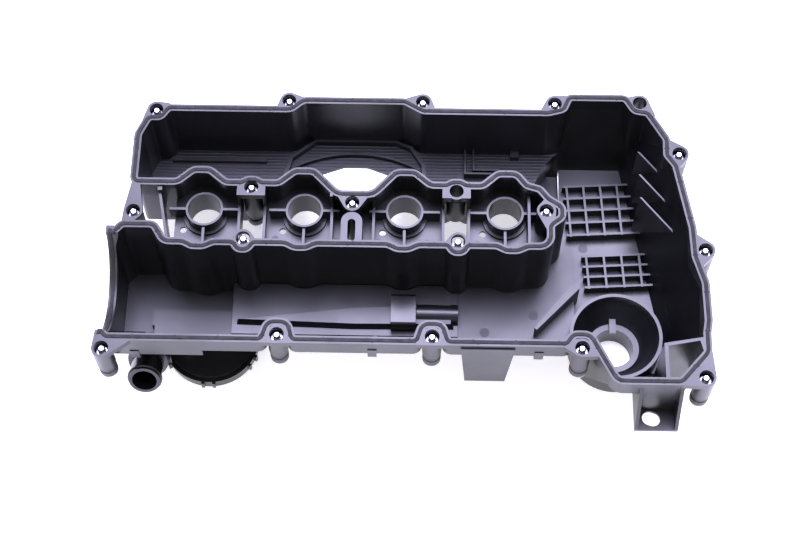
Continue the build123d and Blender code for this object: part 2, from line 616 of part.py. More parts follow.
with BuildPart() as cuts:
    # hollow of the corner pocket
    prism([(X4 + 138.3, FRONT - 29.5), (X4 + 138.3, FRONT - 0.6), (X4 + 166, FRONT + 4.8),
           (X4 + 168.4, FRONT - 4.8), (X4 + 147, FRONT - 29.5)], -1, CHAIN_DEEP - 12)
    # duct from the valve seat to the tower, and the spigot's socket
    post(CUP_X, CUP_Y, SEAT_BORE, POCKET_DEEP - 3, SEAT_END + 5)
    box(SPIGOT_ROOT[0] + 4, CUP_X + 12, FRONT + 36, FRONT + 56, POCKET_DEEP - 10, POCKET_DEEP)
    box(SPIGOT_ROOT[0] - 9, SPIGOT_ROOT[0] + 9, FRONT + 22, FRONT + 50, POCKET_DEEP - 9, POCKET_DEEP)
    tube_along(SPIGOT_ROOT, SPIGOT_DIR, SPIGOT_BORE, SPIGOT_LONG)
    tube_along(SPIGOT_ROOT, (0, 0, -1), 9, 14)
    # oil filler bowl and neck
    with BuildSketch(Plane.XZ.offset(-BOWL_Y)):
        polygon([(BOWL_X, -50), (BOWL_X + BOWL_R - 3, -50), (BOWL_X + BOWL_R - 3, -72),
                 (BOWL_X + 28, -90), (BOWL_X + 24, -CHAIN_DEEP + 1), (BOWL_X, -CHAIN_DEEP + 1)])
    revolve(axis=Axis((BOWL_X, BOWL_Y, 0), (0, 0, 1)))
    post(BOWL_X, BOWL_Y, NECK_BORE, 60, STAND + 5)
    # plug well
    well_openings()
    # bolt holes
    for depth, places in BOSSES:
        with BuildSketch(Plane.XY.offset(-depth - 4)):
            with Locations(*places):
                Circle(BOSS_BORE)
        extrude(amount=depth + 5)
    # motor opening
    with BuildSketch(Plane.XY.offset(-BACK_DEEP - 6)):
        polygon([(X2 + 6, BACK - 28.7), (X2 + 32, BACK - 19.2), (X3 - 37, BACK - 19.2),
                 (X3 - 12, BACK - 28.7), (X3 - 22, BACK - 52.7), (X2 + 18, BACK - 52.7)])
        fillet(vertices(), 5)
    extrude(amount=12)
    # clip hole of the bracket
    with BuildSketch(Plane.XY.offset(-62)):
        with Locations(Location((X4 + 128.5, CHAIN_FRONT - 12.4, 0), (0, 0, -20))):
            SlotCenterToCenter(3, 13)
    extrude(amount=8)
    # half-round saddle and its part of the groove
    with BuildSketch(Plane.YZ.offset(X1 - 80 - 20)):
        with Locations((MOON_Y, MOON_UP)):
            Circle(MOON_R)
    extrude(amount=20 + BAND + 4)
    with BuildSketch(Plane.YZ.offset(X1 - 80 - GROOVE_HALF)):
        with Locations((MOON_Y, MOON_UP)):
            Circle(MOON_R + GROOVE_DEEP)
    extrude(amount=2 * GROOVE_HALF)
    # seal groove
    with BuildSketch(Plane.XY.offset(-GROOVE_DEEP)):
        seal_face(GROOVE_HALF)
        seal_face(-GROOVE_HALF, Mode.SUBTRACT)
    extrude(amount=GROOVE_DEEP + 1)

with BuildPart() as cover_shell:
    add(hollow(WALL_INSET, WALL))
    add([rim.part, outside.part], clean=False)
    add(hollow(BAND, 0), mode=Mode.SUBTRACT, clean=False)
    add(inside.part, clean=False)
    add(cuts.part, mode=Mode.SUBTRACT, clean=False)
    # bayonet lug in the filler neck
    box(BOWL_X - 3, BOWL_X + 3, BOWL_Y + NECK_BORE - 5, BOWL_Y + NECK_BORE + 9,
        CHAIN_DEEP - 5, CHAIN_DEEP - 1.2)


# ================================================================ gasket
with BuildPart() as rim_gasket:
    with BuildSketch(Plane.XY.offset(-GROOVE_DEEP)):
        seal_face(GASKET_HALF)
        seal_face(-GASKET_HALF, Mode.SUBTRACT)
        with Locations((X1 - 80, MOON_Y)):
            Rectangle(12, 2 * MOON_R - 2, mode=Mode.SUBTRACT)
    extrude(amount=GROOVE_DEEP + GASKET_PROUD)
    with BuildSketch(Plane.YZ.offset(X1 - 80 - GASKET_HALF)):
        with Locations((MOON_Y, MOON_UP)):
            Circle(MOON_R + GROOVE_DEEP)
            Circle(MOON_R - GASKET_PROUD, mode=Mode.SUBTRACT)
        with Locations((MOON_Y, GASKET_PROUD + 100)):
            Rectangle(2 * FAR, 200, mode=Mode.SUBTRACT)
    extrude(amount=2 * GASKET_HALF)

# ================================================================ oil separator
SEP_GAP = 0.4
DUCT_Y = FRONT + 59.3  # middle of the gas duct
BAFFLE_Y = FRONT + 71.3
with BuildPart() as separator_plate:
    with BuildSketch(Plane.XY.offset(-PLATE_DEEP - PLATE)):
        seal_face(-BAND - SEP_GAP)
        with Locations((SPLIT_X - FAR, 0), (RIGHT_X + FAR, 0)):
            Rectangle(2 * FAR, 2 * FAR, mode=Mode.SUBTRACT)
        with Locations((0, CHAMBER_SPLIT + FAR)):
            Rectangle(2 * FAR, 2 * FAR, mode=Mode.SUBTRACT)
        slope_y = FRONT + BAND + SLOPE * (PLATE_DEEP + PLATE - SLOPE_FROM) + SEP_GAP
        with Locations((0, slope_y - FAR)):
            Rectangle(2 * FAR, 2 * FAR, mode=Mode.SUBTRACT)
    extrude(amount=PLATE)
    # raised gas duct, widening to the outlet
    with BuildSketch(Plane.XY.offset(-PLATE_DEEP)):
        polygon([(SPLIT_X + 5, DUCT_Y - 12), (0, DUCT_Y - 15), (RIGHT_X - 4, DUCT_Y - 14),
                 (RIGHT_X - 4, DUCT_Y + 11), (0, DUCT_Y + 6), (SPLIT_X + 5, DUCT_Y - 7)])
    extrude(amount=7, taper=20)
    with BuildSketch(Plane.YZ.offset(X3 + 12)):
        with Locations((DUCT_Y, -PLATE_DEEP + 1)):
            Circle(9.5)
        with Locations((DUCT_Y, -PLATE_DEEP - 20)):
            Rectangle(40, 40, mode=Mode.SUBTRACT)
    extrude(amount=RIGHT_X - X3 - 12)

with BuildPart() as separator_clip:
    with BuildSketch(Plane.YZ.offset(X3 - 11.5)):
        with Locations((DUCT_Y - 0.5, -PLATE_DEEP + 7.5)):
            RectangleRounded(31, 15, 3)
        with Locations((DUCT_Y - 0.5, -PLATE_DEEP + 6.2)):
            Rectangle(28, 14.6, mode=Mode.SUBTRACT)
        with Locations((DUCT_Y - 0.5, -PLATE_DEEP - 10)):
            Rectangle(40, 20, mode=Mode.SUBTRACT)
    extrude(amount=23)

with BuildPart() as separator_baffles:
    low = CHAIN_DEEP
    high = PLATE_DEEP + PLATE
    box(SPLIT_X + 4, RIGHT_X - 3, BAFFLE_Y - 1, BAFFLE_Y + 1, high, low)
    for i in range(7):
        x = SPLIT_X + 16 + i * (RIGHT_X - SPLIT_X - 32) / 6
        reach = 14 if i % 2 else 18
        box(x - 1, x + 1, BAFFLE_Y - reach, BAFFLE_Y + (30 - reach) / 2, high, low)
    box(SPLIT_X + 1.5, SPLIT_X + 4, BAFFLE_Y - 21, BAFFLE_Y + 11, high, low)
    box(RIGHT_X - 4, RIGHT_X - 1.5, BAFFLE_Y - 21, BAFFLE_Y + 11, high, low)


# ================================================================ captive bolts
def draw_bolt(boss, stud=0.0):
    """Waisted cap bolt for a boss of this length, head down."""
    head_at = boss + GROMMET_OUT + WASHER_T
    with BuildSketch(Plane.XZ) as half:
        polygon([(0, -TIP), (BOLT_R - 0.9, -TIP), (BOLT_R, -TIP - 1.2), (BOLT_R, -THREAD_END),
                 (WAIST_R, -THREAD_END - 1), (WAIST_R, 6 - head_at), (BOLT_R, 5 - head_at),
                 (BOLT_R, -1 - head_at), (0, -1 - head_at)])
    revolve(half.sketch, axis=Axis.Z)
    with BuildSketch(Plane.XY.offset(-head_at - HEAD_T)) as hexagon:
        RegularPolygon(HEAD_FLATS / 2, 6, major_radius=False)
    extrude(hexagon.sketch, amount=HEAD_T)
    if stud:
        with BuildSketch(Plane.XY.offset(-head_at - HEAD_T - stud)) as end:
            Circle(BOLT_R)
        extrude(end.sketch, amount=stud)


def draw_ring(points):
    """Turned ring from its half section (radius, height)."""
    with BuildSketch(Plane.XZ) as half:
        polygon(points)
    revolve(half.sketch, axis=Axis.Z)


def draw_grommet(boss):
    """Rubber sleeve inside a boss, with a waisted collar below it."""
    end = boss + GROMMET_OUT
    draw_ring([(SLEEVE_R, -GROMMET_TOP), (BOSS_BORE, -GROMMET_TOP), (BOSS_BORE, -boss),
               (GROMMET_R, -boss), (GROMMET_R, -boss - 5.4), (GROMMET_NECK, -boss - 6.4),
               (GROMMET_NECK, -boss - 7.6), (GROMMET_R, -boss - 8.6), (GROMMET_R, -end),
               (SLEEVE_R, -end)])


def draw_sleeve(boss):
    """Steel distance sleeve round the bolt, down to the washer."""
    end = boss + GROMMET_OUT
    draw_ring([(SLEEVE_BORE, -SLEEVE_TOP), (SLEEVE_R, -SLEEVE_TOP), (SLEEVE_R, -end), (SLEEVE_BORE, -end)])


def draw_washer(boss):
    """Washer between the grommet and the bolt's head."""
    top = boss + GROMMET_OUT
    draw_ring([(SLEEVE_BORE, -top), (WASHER_R, -top), (WASHER_R, -top - WASHER_T),
               (SLEEVE_BORE, -top - WASHER_T)])


def repeated(draw, places, *sizes):
    """The same piece standing at every place, as separate solids."""
    with BuildPart(mode=Mode.PRIVATE) as piece:
        draw(*sizes)
    with BuildPart() as group:
        with Locations(*places):
            add(piece.part, clean=False)
    return group


OUTER_AT = [bolt[0] for bolt in OUTER_BOLTS]
WELL_AT = [bolt[0] for bolt in WELL_BOLTS]
STUD_AT = [STUD_BOLT[0]]
flange_bolts = repeated(draw_bolt, OUTER_AT, BOSS_LONG)
flange_bolt_sleeves = repeated(draw_sleeve, OUTER_AT, BOSS_LONG)
flange_bolt_grommets = repeated(draw_grommet, OUTER_AT, BOSS_LONG)
flange_bolt_washers = repeated(draw_washer, OUTER_AT, BOSS_LONG)
well_bolts = repeated(draw_bolt, WELL_AT, WELL_BOSS)
stud_bolt = repeated(draw_bolt, STUD_AT, WELL_BOSS, STUD_LONG)
well_bolt_sleeves = repeated(draw_sleeve, [*WELL_AT, *STUD_AT], WELL_BOSS)
well_bolt_grommets = repeated(draw_grommet, [*WELL_AT, *STUD_AT], WELL_BOSS)
well_bolt_washers = repeated(draw_washer, [*WELL_AT, *STUD_AT], WELL_BOSS)

# ================================================================ breather valve
LID_FLOOR = CUP_END + DIAPHRAGM + 2.8
PLATE_AT = SEAT_END + LIFT + FIT  # top of the valve plate at rest
with BuildPart() as breather_lid:
    with BuildSketch(Plane.XZ.offset(-CUP_Y)):
        polygon([(CUP_X, -LID_FLOOR), (CUP_X + CUP_R - 6, -LID_FLOOR),
                 (CUP_X + CUP_R - 5, -CUP_END - DIAPHRAGM),
                 (CUP_X + CUP_R + 0.2, -CUP_END - DIAPHRAGM), (CUP_X + CUP_R + 0.2, -CUP_TOP - 0.2),
                 (CUP_X + LID_R, -CUP_TOP - 0.2), (CUP_X + LID_R, -CUP_TOP - 3),
                 (CUP_X + LID_R - 1.4, -CUP_TOP - 3.6), (CUP_X + LID_R - 1.4, -LID_FLOOR + 1),
                 (CUP_X + LID_R - 4, -LID_FLOOR - LID_T), (CUP_X + 14, -LID_FLOOR - LID_T),
                 (CUP_X + 12, -STAND), (CUP_X + 9, -STAND), (CUP_X + 9, -LID_FLOOR - LID_T),
                 (CUP_X, -LID_FLOOR - LID_T)])
    revolve(axis=Axis((CUP_X, CUP_Y, 0), (0, 0, 1)))
    # snap tabs round the edge
    with BuildSketch(Plane.XY.offset(-CUP_TOP - 9.2)):
        with Locations((CUP_X, CUP_Y)):
            with PolarLocations(LID_R - 0.4, 6, start_angle=-90):
                Rectangle(4.5, 13)
                with Locations((1.2, 0)):
                    Rectangle(2.6, 7, mode=Mode.SUBTRACT)
    extrude(amount=9)

with BuildPart() as diaphragm:
    centre = -PLATE_AT - 1.5
    with BuildSketch(Plane.XZ.offset(-CUP_Y)):
        polygon([(CUP_X + PIN_R, centre), (CUP_X + HUB_R, centre), (CUP_X + CUP_R - 5.6, -CUP_END),
                 (CUP_X + CUP_R - 0.4, -CUP_END), (CUP_X + CUP_R - 0.4, -CUP_END - DIAPHRAGM),
                 (CUP_X + CUP_R - 5.8, -CUP_END - DIAPHRAGM), (CUP_X + HUB_R - 0.2, centre - DIAPHRAGM),
                 (CUP_X + PIN_R, centre - DIAPHRAGM)])
    revolve(axis=Axis((CUP_X, CUP_Y, 0), (0, 0, 1)))

with BuildPart() as valve_plate:
    post(CUP_X, CUP_Y, PLATE_R - 0.5, PLATE_AT, PLATE_AT + 1.5)
    post(CUP_X, CUP_Y, PIN_R, PLATE_AT + 1, PLATE_AT + 1.5 + DIAPHRAGM + 1.6)

with BuildPart() as plate_washer:
    post(CUP_X, CUP_Y, PLATE_R - 2, PLATE_AT + 1.5 + DIAPHRAGM, PLATE_AT + 3 + DIAPHRAGM)
    post(CUP_X, CUP_Y, PIN_R, PLATE_AT, PLATE_AT + 6, Mode.SUBTRACT)

with BuildPart() as valve_spring:
    spring_low = -PLATE_AT + WIRE + 0.1
    spring_high = -CUP_TOP - WIRE - 0.1
    with BuildLine() as coil:
        Helix((spring_high - spring_low) / 3, spring_high - spring_low, SPRING_R,
              center=(CUP_X, CUP_Y, spring_low))
    with BuildSketch(Plane(origin=coil.line @ 0, z_dir=coil.line % 0)):
        Circle(WIRE)
    sweep(is_frenet=True)

with BuildPart() as breather_spigot:
    # straight hose tail with a sealing bead at the mouth, plugged into the tower
    with BuildSketch(Plane(origin=SPIGOT_ROOT, z_dir=SPIGOT_DIR).offset(3)):
        Circle(SPIGOT_BORE)
        Circle(SPIGOT_BORE - 2.2, mode=Mode.SUBTRACT)
    extrude(amount=TOWER_LONG - 3)
    with BuildSketch(Plane(origin=SPIGOT_ROOT, z_dir=SPIGOT_DIR).offset(TOWER_LONG)):
        Circle(SPIGOT_BORE + 1)
        Circle(SPIGOT_BORE - 2.2, mode=Mode.SUBTRACT)
    extrude(amount=SPIGOT_LONG - TOWER_LONG)
    for at, deep, radius in ((TOWER_LONG, 2.4, SPIGOT_R + 2.4), (SPIGOT_LONG - 5, 2.2, SPIGOT_R)):
        with BuildSketch(Plane(origin=SPIGOT_ROOT, z_dir=SPIGOT_DIR).offset(at)):
            Circle(radius)
            Circle(SPIGOT_BORE - 1, mode=Mode.SUBTRACT)
        extrude(amount=deep)

with BuildPart() as post_buffers:
    for x in (X1 - 12, X4 - 22):
        with BuildSketch(Plane.XZ.offset(-(BACK - 22))) as half:
            polygon([(x, -STAND + 6), (x + 9, -STAND + 6), (x + 9, -STAND + 12), (x + 11.5, -STAND + 11),
                     (x + 11.5, -STAND + 1), (x + 10.5, -STAND), (x, -STAND)])
        revolve(half.sketch, axis=Axis((x, BACK - 22, 0), (0, 0, 1)))

# ================================================================ set down and written out
NODES = {
    "cover_shell": cover_shell,
    "rim_gasket": rim_gasket,
    "separator_plate": separator_plate,
    "separator_clip": separator_clip,
    "separator_baffles": separator_baffles,
    "flange_bolts": flange_bolts,
    "flange_bolt_sleeves": flange_bolt_sleeves,
    "flange_bolt_grommets": flange_bolt_grommets,
    "flange_bolt_washers": flange_bolt_washers,
    "well_bolts": well_bolts,
    "stud_bolt": stud_bolt,
    "well_bolt_sleeves": well_bolt_sleeves,
    "well_bolt_grommets": well_bolt_grommets,
    "well_bolt_washers": well_bolt_washers,
    "breather_lid": breather_lid,
    "diaphragm": diaphragm,
    "valve_plate": valve_plate,
    "plate_washer": plate_washer,
    "valve_spring": valve_spring,
    "breather_spigot": breather_spigot,
    "post_buffers": post_buffers,
}
boxes = [node.part.bounding_box() for node in NODES.values()]
middle_x = round((min(b.min.X for b in boxes) + max(b.max.X for b in boxes)) / 2, 1)
middle_y = round((min(b.min.Y for b in boxes) + max(b.max.Y for b in boxes)) / 2, 1)
SET_DOWN = Location((-middle_x, -middle_y, STAND))
print("set down by", -middle_x, -middle_y, STAND)

os.makedirs("parts", exist_ok=True)
for label, node in NODES.items():
    placed = node.part.moved(SET_DOWN)
    placed.label = label
    print(label, len(placed.solids()), placed.is_valid, round(placed.volume))
    export_step(placed, f"parts/{label}.step")
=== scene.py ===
"""Looks of the moulded cam cover, lying rim up on a pale studio floor.

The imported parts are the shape. This script gives them their real finishes, softens their moulded
edges and adds what the parts leave out: bolt threads, the gasket's locating nubs, the ejector
marks of the mould and the cutter lines of the thin floor.
"""

import math

import bpy
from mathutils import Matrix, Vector


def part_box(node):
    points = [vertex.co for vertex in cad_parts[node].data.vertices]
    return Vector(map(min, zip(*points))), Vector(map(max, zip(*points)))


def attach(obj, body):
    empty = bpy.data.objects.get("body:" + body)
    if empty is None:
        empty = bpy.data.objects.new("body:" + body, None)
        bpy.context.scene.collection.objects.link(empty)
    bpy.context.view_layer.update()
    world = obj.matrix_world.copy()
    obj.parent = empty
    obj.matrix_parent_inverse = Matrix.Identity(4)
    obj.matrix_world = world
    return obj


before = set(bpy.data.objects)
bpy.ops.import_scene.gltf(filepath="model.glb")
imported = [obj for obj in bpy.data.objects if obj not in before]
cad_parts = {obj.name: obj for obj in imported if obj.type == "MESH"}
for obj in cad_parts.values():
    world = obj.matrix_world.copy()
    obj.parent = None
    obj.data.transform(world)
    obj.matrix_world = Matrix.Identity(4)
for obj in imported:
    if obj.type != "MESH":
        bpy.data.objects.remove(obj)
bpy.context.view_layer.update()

MM = 0.001

# ================================================================ where things are, from the parts
CUP_FROM_ROW = Vector((-132, -92, 0)) * MM  # the valve cup, from the middle of the collar row
valve_low, valve_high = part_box("valve_plate")
RIM_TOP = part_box("cover_shell")[1].z
ROW = (valve_low + valve_high) / 2 - CUP_FROM_ROW
ROW.z = RIM_TOP
BACK_FLOOR = RIM_TOP - 73 * MM  # thin floor of the back chamber
LINE_EVERY = 3.3 * MM  # cutter lines of the thin floor, from one to the next


def at(x, y, z=0.0):
    """A place in millimetres from the middle of the collar row at the rim, in the row frame."""
    return ROW + Vector((x, y, z)) * MM


# ================================================================ helpers
def linear(hex_colour):
    """An sRGB hex colour as the linear colour with alpha that the shaders take."""
    parts = [int(hex_colour[i : i + 2], 16) / 255 for i in (1, 3, 5)]
    return [*(c / 12.92 if c <= 0.04045 else ((c + 0.055) / 1.055) ** 2.4 for c in parts), 1.0]


def node(tree, kind, inputs=None, **settings):
    """Adds a node. inputs maps a socket's name or number to a value or to the output that feeds it."""
    made = tree.nodes.new(kind)
    for name, value in settings.items():
        setattr(made, name, value)
    for key, value in (inputs or {}).items():
        if isinstance(value, bpy.types.NodeSocket):
            tree.links.new(value, made.inputs[key])
        else:
            made.inputs[key].default_value = value
    return made


def ramp(tree, factor, stops):
    """A colour ramp through (position, hex colour) stops."""
    made = node(tree, "ShaderNodeValToRGB", {"Fac": factor})
    elements = made.color_ramp.elements
    while len(elements) < len(stops):
        elements.new(0.5)
    for element, (place, colour) in zip(elements, stops):
        element.position = place
        element.color = linear(colour)
    return made.outputs["Color"]


def new_material(name):
    """A material with only its output, its Principled shader and object coordinates."""
    made = bpy.data.materials.new(name)
    made.use_nodes = True
    tree = made.node_tree
    tree.nodes.clear()
    output = node(tree, "ShaderNodeOutputMaterial")
    shader = node(tree, "ShaderNodeBsdfPrincipled")
    tree.links.new(shader.outputs["BSDF"], output.inputs["Surface"])
    place = node(tree, "ShaderNodeTexCoord").outputs["Object"]
    return made, tree, shader, place


def per_mm(size):
    """Scale of a noise or Voronoi texture whose features are size millimetres wide."""
    return 1 / (size * MM)


def noise(tree, place, size, **inputs):
    """Noise with features of size millimetres."""
    values = {"Vector": place, "Scale": per_mm(size), **inputs}
    return node(tree, "ShaderNodeTexNoise", values).outputs["Fac"]


def spread(tree, value, low, high):
    """Spreads the middle of a noise over a range, such as of roughness."""
    values = {"Value": value, "From Min": 0.3, "From Max": 0.7, "To Min": low, "To Max": high}
    return node(tree, "ShaderNodeMapRange", values).outputs["Result"]


def maths(tree, operation, *values):
    """The result of one maths node."""
    return node(tree, "ShaderNodeMath", dict(enumerate(values)), operation=operation).outputs[0]


def feed(tree, shader, colour, rough, normal):
    """Links a finish's colour, roughness and normal to its shader."""
    tree.links.new(colour, shader.inputs["Base Color"])
    tree.links.new(rough, shader.inputs["Roughness"])
    tree.links.new(normal, shader.inputs["Normal"])


# ================================================================ finishes
def glass_filled_nylon(name, dark, light, rough, grain, drawn_floor=False):
    """Glass-filled PA66, injection moulded in an eroded steel mould.

    The eye gets a near-black satin skin with a cool sheen, a fine pebble that breaks up the
    highlights, and slow gloss changes where the melt flowed.
    """
    made, tree, shader, place = new_material(name)
    # slow changes of tone and gloss, about 45 mm across, from the flow of the melt
    flow = noise(tree, place, 45, Detail=3.0)
    colour = ramp(tree, flow, [(0.3, dark), (0.75, light)])
    # pebble of the eroded mould: about 0.2 mm in fact, drawn at 0.9 mm so that it shows
    pebble = noise(tree, place, 0.9, Detail=2.0, Roughness=0.6)
    gloss = spread(tree, flow, rough - 0.05, rough + 0.06)
    bump = node(tree, "ShaderNodeBump", {"Height": pebble, "Strength": grain, "Distance": 0.05 * MM})
    normal = bump.outputs["Normal"]
    if drawn_floor:
        # cutter lines of the mould, across the thin floor of the back chamber only
        axes = node(tree, "ShaderNodeSeparateXYZ", {"Vector": place})
        # a ping-pong wave goes up and down once in two units, so one line takes two
        phase = maths(tree, "MULTIPLY", axes.outputs["Y"], 2 / LINE_EVERY)
        wave = maths(tree, "PINGPONG", phase, 1.0)
        line = node(
            tree,
            "ShaderNodeMapRange",
            {"Value": wave, "From Min": 0.62, "From Max": 0.95},
            interpolation_type="SMOOTHSTEP",
        ).outputs["Result"]
        level = maths(tree, "SUBTRACT", axes.outputs["Z"], BACK_FLOOR)
        on_floor = maths(tree, "LESS_THAN", maths(tree, "ABSOLUTE", level), 0.3 * MM)
        height = maths(tree, "MULTIPLY", line, on_floor)
        normal = node(
            tree,
            "ShaderNodeBump",
            {"Height": height, "Normal": normal, "Strength": 0.8, "Distance": 0.35 * MM},
        ).outputs["Normal"]
        # painted highlight: the raised lines are painted paler than the floor between them, standing in
        # for the light their ridges catch
        tint = maths(tree, "MULTIPLY", height, 0.55)
        colour = node(
            tree,
            "ShaderNodeMix",
            {"Factor": tint, 6: colour, 7: linear("#3a3a48")},
            data_type="RGBA",
        ).outputs[2]
    feed(tree, shader, colour, gloss, normal)
    shader.inputs["IOR"].default_value = 1.53
    return made


def moulded_rubber(name, dark, light, rough):
    """Moulded nitrile or acrylic rubber: dull, a little dusty, with a soft mottling."""
    made, tree, shader, place = new_material(name)
    # dusty mottling about 6 mm across
    bloom = noise(tree, place, 6, Detail=4.0)
    colour = ramp(tree, bloom, [(0.35, dark), (0.7, light)])
    # skin texture: about 0.3 mm, drawn at 0.7 mm
    skin = noise(tree, place, 0.7)
    dull = spread(tree, bloom, rough - 0.08, rough + 0.08)
    bump = node(tree, "ShaderNodeBump", {"Height": skin, "Strength": 0.5, "Distance": 0.06 * MM})
    feed(tree, shader, colour, dull, bump.outputs["Normal"])
    shader.inputs["IOR"].default_value = 1.52
    return made


def plated_steel(name, bright, tint, rough):
    """Zinc-plated or drawn steel: bright metal with a fine crystalline mottle and handling marks."""
    made, tree, shader, place = new_material(name)
    # crystals of the plating: under 0.1 mm in fact, drawn at 0.8 mm so that they show
    crystal = node(tree, "ShaderNodeTexVoronoi", {"Vector": place, "Scale": per_mm(0.8)}).outputs["Color"]
    tone = node(tree, "ShaderNodeSeparateColor", {"Color": crystal}).outputs[0]
    colour = ramp(tree, tone, [(0.0, tint), (1.0, bright)])
    # handling marks, about 2.5 mm across
    marks = noise(tree, place, 2.5, Detail=5.0)
    gloss = spread(tree, marks, rough - 0.06, rough + 0.1)
    bump = node(tree, "ShaderNodeBump", {"Height": marks, "Strength": 0.3, "Distance": 0.03 * MM})
    feed(tree, shader, colour, gloss, bump.outputs["Normal"])
    shader.inputs["Metallic"].default_value = 1.0
    return made


NYLON = glass_filled_nylon("glass_filled_nylon_moulded", "#08080b", "#0f0f14", 0.37, 0.3, drawn_floor=True)
NYLON_SEPARATE = glass_filled_nylon("glass_filled_nylon_insert", "#09090c", "#111116", 0.33, 0.25)
NYLON_CLIP = glass_filled_nylon("unfilled_nylon_semi_gloss", "#08080a", "#101014", 0.24, 0.18)
NYLON_MATT = glass_filled_nylon("glass_filled_nylon_ejector_face", "#101015", "#1a1a21", 0.52, 0.6)
GASKET = moulded_rubber("acrylic_rubber_gasket", "#040405", "#080809", 0.75)
GROMMET = moulded_rubber("nitrile_rubber_grommet", "#0b0b0c", "#161618", 0.5)
ZINC = plated_steel("zinc_plated_steel_bolt", "#f1f2f6", "#c9ccd6", 0.26)
SLEEVE = plated_steel("drawn_steel_sleeve", "#c4c5ca", "#9a9ba3", 0.34)

FINISH = {
    "cover_shell": NYLON,
    "rim_gasket": GASKET,
    "separator_plate": NYLON_SEPARATE,
    "separator_clip": NYLON_CLIP,
    "separator_baffles": NYLON_SEPARATE,
    "flange_bolts": ZINC,
    "flange_bolt_sleeves": SLEEVE,
    "flange_bolt_grommets": GROMMET,
    "flange_bolt_washers": SLEEVE,
    "well_bolts": ZINC,
    "stud_bolt": ZINC,
    "well_bolt_sleeves": SLEEVE,
    "well_bolt_grommets": GROMMET,
    "well_bolt_washers": SLEEVE,
    "breather_lid": NYLON_CLIP,
    "diaphragm": GROMMET,
    "valve_plate": NYLON_CLIP,
    "plate_washer": SLEEVE,
    "valve_spring": ZINC,
    "breather_spigot": NYLON_CLIP,
    "post_buffers": GROMMET,
}


for name, material in FINISH.items():
    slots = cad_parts[name].data.materials
    slots.clear()
    slots.append(material)


# ================================================================ softened moulded edges
# radius in millimetres: every moulded edge has a few tenths, which is what catches the light
EDGE_RADIUS = {
    "cover_shell": 0.45,
    "separator_plate": 0.4,
    "separator_clip": 0.4,
    "breather_lid": 0.4,
    "breather_spigot": 0.3,
    "rim_gasket": 0.25,
    "flange_bolts": 0.15,
    "well_bolts": 0.15,
    "stud_bolt": 0.15,
    "flange_bolt_grommets": 0.4,
    "well_bolt_grommets": 0.4,
    "post_buffers": 0.4,
}


def soften_edges(name, radius):
    """Rounds the sharp edges of a CAD node with modifiers, and leaves its mesh alone."""
    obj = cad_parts[name]
    weld = obj.modifiers.new("join_faces", "WELD")
    weld.merge_threshold = 1e-6
    flat = obj.modifiers.new("one_face_per_flat", "DECIMATE")
    flat.decimate_type = "DISSOLVE"
    flat.angle_limit = math.radians(0.5)
    bevel = obj.modifiers.new("edge_radius", "BEVEL")
    bevel.width = radius * MM
    bevel.segments = 2
    bevel.limit_method = "ANGLE"
    bevel.angle_limit = math.radians(35)
    bevel.use_clamp_overlap = True
    # the wide flats keep their own normals, so that the turn of the light stays on the radii
    even = obj.modifiers.new("flat_normals", "WEIGHTED_NORMAL")
    even.weight = 100
    even.keep_sharp = True


for name, radius in EDGE_RADIUS.items():
    soften_edges(name, radius)


# ================================================================ small repeated details
def new_tree(name, inputs):
    """A geometry tree with a mesh in, the named inputs, and a mesh out."""
    tree = bpy.data.node_groups.new(name, "GeometryNodeTree")
    tree.interface.new_socket("Geometry", in_out="INPUT", socket_type="NodeSocketGeometry")
    for title, kind in inputs:
        tree.interface.new_socket(title, in_out="INPUT", socket_type=kind)
    tree.interface.new_socket("Geometry", in_out="OUTPUT", socket_type="NodeSocketGeometry")
    return tree, node(tree, "NodeGroupInput"), node(tree, "NodeGroupOutput")


def close_tree(tree, output, instances, material_socket):
    """Makes the instances real, gives them their finish and ends the tree."""
    real = node(tree, "GeometryNodeRealizeInstances", {"Geometry": instances})
    finished = node(
        tree, "GeometryNodeSetMaterial", {"Geometry": real.outputs[0], "Material": material_socket}
    )
    tree.links.new(finished.outputs[0], output.inputs[0])


def line_mesh(name, points, closed):
    """A mesh of loose points, or of points joined in a ring when closed."""
    mesh = bpy.data.meshes.new(name)
    edges = [(i, (i + 1) % len(points)) for i in range(len(points))] if closed else []
    mesh.from_pydata([tuple(p) for p in points], edges, [])
    return mesh


def grown(name, tree, base, values, body):
    """Runs a tree on a base mesh with the given inputs and keeps the result as a plain piece."""
    host = bpy.data.objects.new(name + "_host", base)
    bpy.context.scene.collection.objects.link(host)
    modifier = host.modifiers.new("grow", "NODES")
    modifier.node_group = tree
    sockets = {s.name: s.identifier for s in tree.interface.items_tree if s.in_out == "INPUT"}
    for title, value in values.items():
        modifier[sockets[title]] = value
    graph = bpy.context.evaluated_depsgraph_get()
    mesh = bpy.data.meshes.new_from_object(host.evaluated_get(graph), depsgraph=graph)
    bpy.data.objects.remove(host)
    piece = bpy.data.objects.new(name, mesh)
    bpy.context.scene.collection.objects.link(piece)
    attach(piece, body)
    return piece


def solid_centres(name):
    """The middle of each loose solid of a node, seen from above, at the height of its top."""
    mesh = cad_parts[name].data
    parent = {}

    def find(key):
        while parent[key] != key:
            parent[key] = parent[parent[key]]
            key = parent[key]
        return key

    keys = [tuple(round(c, 6) for c in v.co) for v in mesh.vertices]
    for key in keys:
        parent.setdefault(key, key)
    for polygon in mesh.polygons:
        first = find(keys[polygon.vertices[0]])
        for index in polygon.vertices[1:]:
            parent[find(keys[index])] = first
    groups = {}
    for key in set(keys):
        groups.setdefault(find(key), []).append(key)
    centres = []
    for members in groups.values():
        low = [min(m[i] for m in members) for i in range(3)]
        high = [max(m[i] for m in members) for i in range(3)]
        centres.append(Vector(((low[0] + high[0]) / 2, (low[1] + high[1]) / 2, high[2])))
    return sorted(centres, key=lambda c: (round(c.x, 4), round(c.y, 4)))


